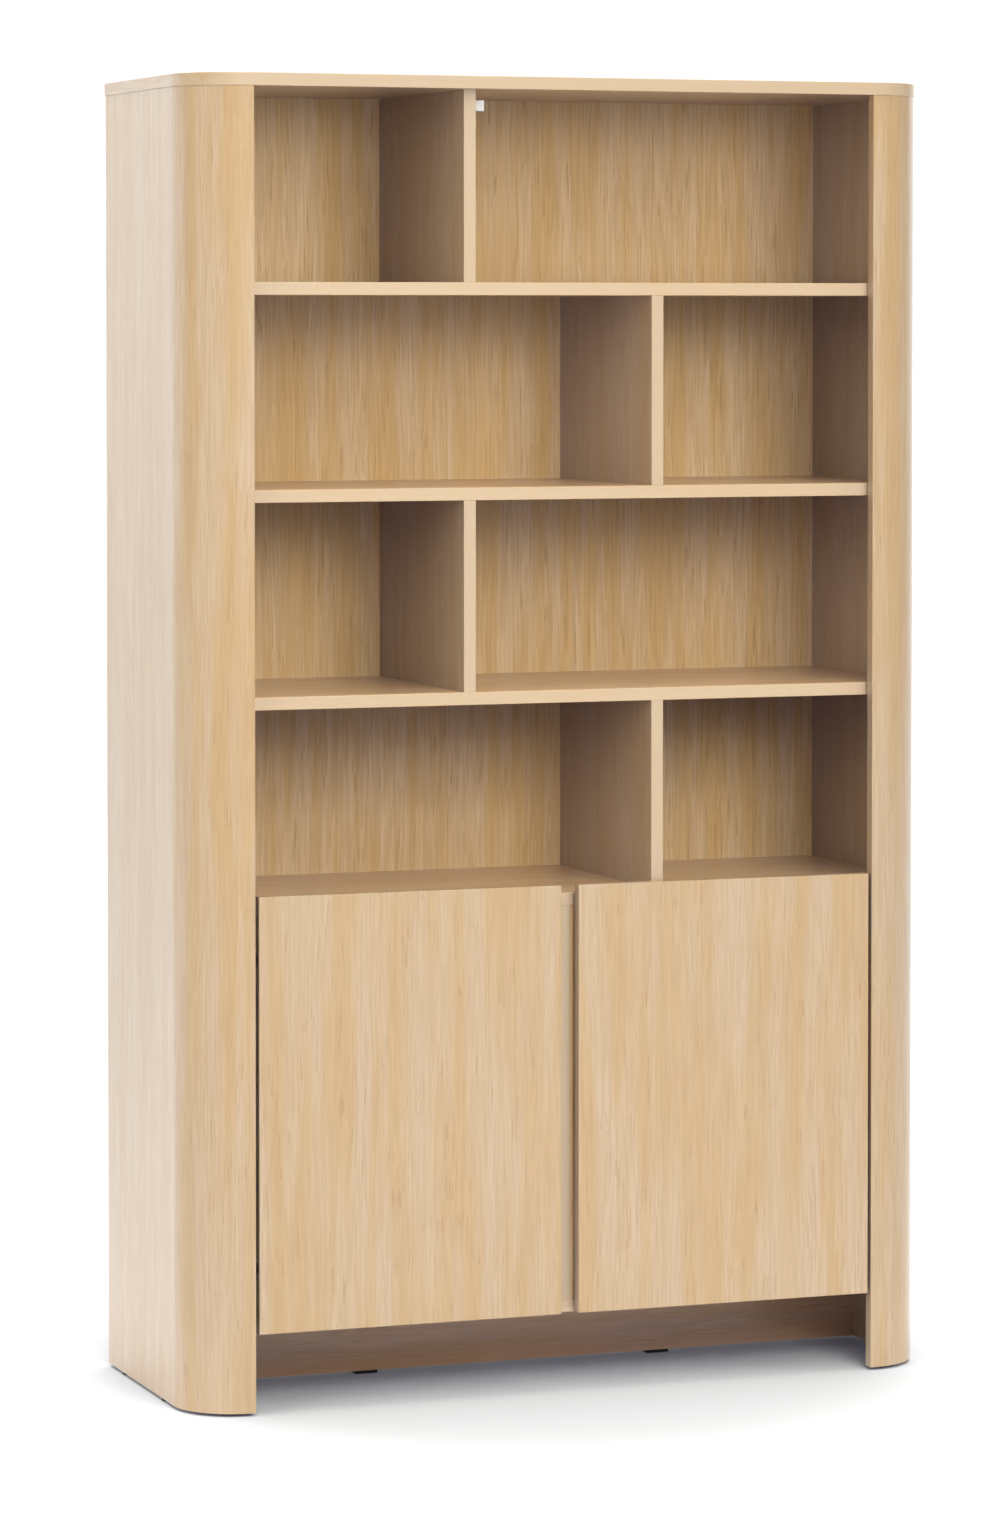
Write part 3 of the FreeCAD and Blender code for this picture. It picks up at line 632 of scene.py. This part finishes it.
class BOOKCASE_OT_side_boards(bpy.types.Operator):
    """Model the two bent side boards, each with a round front corner and a short return"""

    bl_idname = "bookcase.side_boards"
    bl_label = "Side boards"

    def execute(self, context):
        sizes = context.scene.bookcase_sizes
        low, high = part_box("right_side_shell")
        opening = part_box("right_hinge_panel")[1].x
        partition_low, partition_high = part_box("centre_partition")
        board = partition_high.x - partition_low.x
        corner_x = opening + sizes.return_flat
        radius = high.x - corner_x
        corner = Vector((corner_x, low.y + radius, low.z))
        side = self.flat_side(high, corner, low)
        self.bend(side, corner, sizes)
        add_modifier(side, "SOLIDIFY", thickness=board, offset=-1, use_even_offset=True)
        self.round_edges(side, opening, sizes)
        back_low, back_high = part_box("back_panel")
        fit = Vector((sizes.groove_fit,) * 3)
        groove_low = Vector((0, back_low.y, back_low.z))
        groove_high = Vector((back_high.x, back_high.y, high.z)) + fit
        cut_groove(side, groove_low, groove_high)
        alone(side)
        bpy.ops.object.duplicate(linked=False)
        other = bpy.context.object
        other.name = "left_side_board"
        bpy.ops.object.mode_set(mode="EDIT")
        bpy.ops.mesh.select_all(action="SELECT")
        bpy.ops.transform.resize(value=(-1, 1, 1), center_override=(0, 0, 0))
        bpy.ops.mesh.flip_normals()
        bpy.ops.object.mode_set(mode="OBJECT")
        for piece, node in ((side, "right_side_shell"), (other, "left_side_shell")):
            soften(piece, sizes.sharp_angle)
            stand_for(piece, node)
        return {"FINISHED"}

    def flat_side(self, high, corner, low):
        """The outer face of the flat side, as an upright sheet."""
        bpy.ops.object.select_all(action="DESELECT")
        middle = Vector((high.x, (corner.y + high.y) / 2, (low.z + high.z) / 2))
        bpy.ops.mesh.primitive_plane_add(size=1, location=middle, rotation=(0, QUARTER_TURN, 0))
        sheet = bpy.context.object
        sheet.scale = (high.z - low.z, high.y - corner.y, 1)
        return settle(sheet, "right_side_board")

    def bend(self, sheet, corner, sizes):
        """Spin the sheet's front edge round the corner and pull it on to the opening."""
        bpy.ops.object.mode_set(mode="EDIT")
        near = sizes.merge_distance
        pick_edges(sheet, lambda a, b, angle: abs(a.y - corner.y) < near and abs(b.y - corner.y) < near)
        bpy.ops.mesh.spin(steps=sizes.corner_steps, angle=QUARTER_TURN, center=corner, axis=(0, 0, 1))
        bpy.ops.mesh.extrude_edges_move(TRANSFORM_OT_translate={"value": (-sizes.return_flat, 0, 0)})
        bpy.ops.mesh.select_all(action="SELECT")
        bpy.ops.mesh.remove_doubles(threshold=near)
        bpy.ops.mesh.normals_make_consistent(inside=False)
        bpy.ops.object.mode_set(mode="OBJECT")
        if max(sheet.data.polygons, key=lambda face: face.area).normal.x < 0:
            sheet.data.flip_normals()

    def round_edges(self, board, opening, sizes):
        """Round the upright edges beside the opening, and soften the other edges."""
        bpy.ops.object.mode_set(mode="EDIT")
        near = sizes.merge_distance

        def beside_opening(a, b):
            return abs(a.x - opening) < near and abs(b.x - opening) < near and abs(a.z - b.z) > near

        pick_edges(board, lambda a, b, angle: angle > CRISP_TURN and beside_opening(a, b))
        bpy.ops.mesh.bevel(offset=sizes.post_round, segments=sizes.post_steps, affect="EDGES")
        pick_edges(board, lambda a, b, angle: angle > CRISP_TURN)
        bpy.ops.mesh.bevel(offset=sizes.seam_round, segments=sizes.seam_steps, affect="EDGES")
        bpy.ops.object.mode_set(mode="OBJECT")


class BOOKCASE_OT_top_board(bpy.types.Operator):
    """Model the top with its round front corners and softly rounded rim"""

    bl_idname = "bookcase.top_board"
    bl_label = "Top board"

    def execute(self, context):
        sizes = context.scene.bookcase_sizes
        low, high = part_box("top_panel")
        corner_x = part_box("right_hinge_panel")[1].x + sizes.return_flat
        radius = high.x - corner_x
        top = block("top_board", low, high)
        near = sizes.merge_distance
        bpy.ops.object.mode_set(mode="EDIT")
        pick_edges(top, lambda a, b, angle: a.y < 0 and b.y < 0 and abs(a.z - b.z) > near)
        bpy.ops.mesh.bevel(offset=radius, segments=sizes.corner_steps, affect="EDGES")

        def on_rim(a, b, angle):
            behind = abs(a.y - high.y) < near and abs(b.y - high.y) < near
            return angle > CRISP_TURN and not behind

        pick_edges(top, on_rim)
        bpy.ops.mesh.bevel(offset=sizes.top_round, segments=sizes.post_steps, affect="EDGES")
        bpy.ops.object.mode_set(mode="OBJECT")
        back_low, back_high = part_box("back_panel")
        fit = Vector((sizes.groove_fit,) * 3)
        groove_low = Vector((back_low.x - sizes.groove_fit, back_low.y, 0))
        cut_groove(top, groove_low, back_high + fit)
        soften(top, sizes.sharp_angle)
        stand_for(top, "top_panel")
        return {"FINISHED"}


class BOOKCASE_OT_fittings(bpy.types.Operator):
    """Model the steel and plastic fittings from merged copies of their solids, with softened edges"""

    bl_idname = "bookcase.fittings"
    bl_label = "Fittings"

    def execute(self, context):
        sizes = context.scene.bookcase_sizes
        moulded = ("black_plastic", "white_plastic", "clear_rubber", "nickel_steel", "zinc_screw")
        for name, node in list(frame["nodes"].items()):
            slot = slot_of(name)
            if slot not in moulded:
                continue
            bpy.ops.object.select_all(action="DESELECT")
            piece = bpy.data.objects.new(name + "_fitting", node.data.copy())
            context.scene.collection.objects.link(piece)
            alone(piece)
            bpy.ops.object.mode_set(mode="EDIT")
            bpy.ops.mesh.select_all(action="SELECT")
            bpy.ops.mesh.remove_doubles(threshold=sizes.merge_distance)
            bpy.ops.mesh.dissolve_limited(angle_limit=sizes.flat_angle)
            if name == "fixing_block":
                self.round_block(piece, sizes)
            bpy.ops.object.mode_set(mode="OBJECT")
            soften(piece, sizes.sharp_angle)
            stand_for(piece, name)
        return {"FINISHED"}

    def round_block(self, piece, sizes):
        """In edit mode, round the outer edges of the moulded block."""
        low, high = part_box("fixing_block")
        near = sizes.merge_distance

        def outer(spot):
            gaps = [min(abs(at - start), abs(at - end)) for at, start, end in zip(spot, low, high)]
            return sum(gap < near for gap in gaps) > 1

        pick_edges(piece, lambda a, b, angle: outer(a) and outer(b))
        bpy.ops.mesh.bevel(offset=sizes.block_round, segments=sizes.post_steps, affect="EDGES")


class BOOKCASE_OT_stage(bpy.types.Operator):
    """Lay the pale floor and set up the soft studio light and the camera"""

    bl_idname = "bookcase.stage"
    bl_label = "Stage"

    def execute(self, context):
        stage = context.scene.bookcase_stage
        self.lay_floor(stage)
        self.light_sky(context.scene, stage)
        for side in ("near", "front", "high", "side", "corner", "right"):
            self.softbox(stage, side)
        self.set_camera(context.scene, stage)
        return {"FINISHED"}

    def lay_floor(self, stage):
        """A wide pale floor with faint patches, darker near the bookcase as a painted soft shadow round it.
        """
        bpy.ops.object.select_all(action="DESELECT")
        bpy.ops.mesh.primitive_plane_add(size=stage.floor_size)
        floor = bpy.context.object
        floor.name = "floor"
        tree, shader = new_finish("pale_floor")
        start = turned_place(tree, UPRIGHT)
        patches = streaks(tree, start, stage.floor_patch, stage.floor_patch, FINE)[0]
        dim = [part * stage.patch_share for part in stage.painted_shadow_tone]
        tone = blend(tree, patches, stage.painted_shadow_tone, dim)
        # The darker near tone is a painted shadow round the bookcase, fading into the far tone.
        far = self.far_part(tree, stage)
        tone = blend(tree, far, tone, stage.far_tone)
        path = tree.nodes.new("ShaderNodeLightPath")
        lost = maths(tree, "MULTIPLY", path.outputs["Is Diffuse Ray"], far)
        returned = [part * stage.floor_return for part in stage.far_tone]
        tone = blend(tree, lost, tone, returned)
        tree.links.new(tone, shader.inputs["Base Color"])
        roughness = maths(tree, "MULTIPLY_ADD", patches, stage.patch_roughness, stage.floor_roughness)
        tree.links.new(roughness, shader.inputs["Roughness"])
        shader.inputs["Specular IOR Level"].default_value = 0
        dress(floor, "pale_floor")

    def far_part(self, tree, stage):
        """Zero on the floor near the bookcase and one far from it."""
        distance = tree.nodes.new("ShaderNodeVectorMath")
        distance.operation = "LENGTH"
        tree.links.new(turned_place(tree, UPRIGHT), distance.inputs[0])
        return between(tree, distance.outputs["Value"], stage.floor_near, stage.floor_far)

    def light_sky(self, scene, stage):
        """Soft light from straight above and a glow from behind, with a plain backdrop that only shows."""
        world = bpy.data.worlds.new("studio_sky")
        world.use_nodes = True
        tree = world.node_tree
        coordinates = tree.nodes.new("ShaderNodeTexCoord")
        parts = tree.nodes.new("ShaderNodeSeparateXYZ")
        tree.links.new(coordinates.outputs["Generated"], parts.inputs["Vector"])
        height = maths(tree, "MAXIMUM", parts.outputs["Z"], 0)
        above = maths(tree, "MULTIPLY", maths(tree, "POWER", height, stage.sky_focus), stage.sky_light)
        behind = between(tree, parts.outputs["Y"], stage.glow_start_share, stage.glow_full_share)
        light = maths(tree, "MULTIPLY_ADD", behind, stage.rear_glow, above)
        path = tree.nodes.new("ShaderNodeLightPath")
        seen = path.outputs["Is Camera Ray"]
        unseen_light = maths(tree, "MULTIPLY", light, maths(tree, "SUBTRACT", 1, seen))
        strength = maths(tree, "MULTIPLY_ADD", seen, stage.backdrop, unseen_light)
        background = tree.nodes["Background"]
        background.inputs["Color"].default_value = (1, 1, 1, 1)
        tree.links.new(strength, background.inputs["Strength"])
        scene.world = world

    def softbox(self, stage, side):
        """A soft rectangular light on one side, which faces the aim."""
        spot = getattr(stage, side + "_place")
        bpy.ops.object.select_all(action="DESELECT")
        bpy.ops.object.light_add(type="AREA", location=spot)
        lamp = bpy.context.object
        lamp.name = side + "_softbox"
        lamp.data.shape = "RECTANGLE"
        lamp.data.size, lamp.data.size_y = getattr(stage, side + "_size")
        lamp.data.energy = getattr(stage, side + "_power")
        lamp.rotation_euler = (Vector(stage.aim) - Vector(spot)).to_track_quat("-Z", "Y").to_euler()
        lamp.visible_camera = False
        lamp.visible_glossy = False

    def set_camera(self, scene, stage):
        """A nearly level camera with a shifted lens, as the photograph was taken."""
        bpy.ops.object.select_all(action="DESELECT")
        pitch = QUARTER_TURN - stage.camera_tilt
        bpy.ops.object.camera_add(location=stage.camera_place, rotation=(pitch, 0, -stage.camera_turn))
        camera = bpy.context.object
        camera.name = "photo_camera"
        camera.data.lens = stage.lens
        camera.data.shift_y = stage.lens_shift
        camera.data.clip_end = stage.sight
        scene.camera = camera
        scene.view_settings.view_transform = "Standard"
        scene.view_settings.exposure = stage.exposure
        scene.view_settings.gamma = stage.contrast


class BOOKCASE_PT_sidebar(bpy.types.Panel):
    """Lists the steps that dress the bookcase"""

    bl_idname = "BOOKCASE_PT_sidebar"
    bl_label = "Bookcase"
    bl_space_type = "VIEW_3D"
    bl_region_type = "UI"
    bl_category = "Bookcase"

    def draw(self, context):
        for step in STEPS:
            self.layout.operator(step.bl_idname)
        for name in GROUPS:
            group = getattr(context.scene, name)
            box = self.layout.box()
            for key in group.__annotations__:
                box.prop(group, key)


STEPS = (
    BOOKCASE_OT_finishes,
    BOOKCASE_OT_side_boards,
    BOOKCASE_OT_top_board,
    BOOKCASE_OT_fittings,
    BOOKCASE_OT_stage,
)
GROUPS = {
    "bookcase_sizes": BookcaseSizes,
    "bookcase_oak": BookcaseOak,
    "bookcase_fittings": BookcaseFittings,
    "bookcase_stage": BookcaseStage,
}
CLASSES = (*GROUPS.values(), *STEPS, BOOKCASE_PT_sidebar)


def register():
    for item in CLASSES:
        bpy.utils.register_class(item)
    for name, group in GROUPS.items():
        setattr(bpy.types.Scene, name, PointerProperty(type=group))


def unregister():
    for name in GROUPS:
        delattr(bpy.types.Scene, name)
    for item in reversed(CLASSES):
        bpy.utils.unregister_class(item)


def main():
    register()
    bpy.ops.bookcase.finishes()
    bpy.ops.bookcase.side_boards()
    bpy.ops.bookcase.top_board()
    bpy.ops.bookcase.fittings()
    bpy.ops.bookcase.stage()


if __name__ == "__main__":
    main()
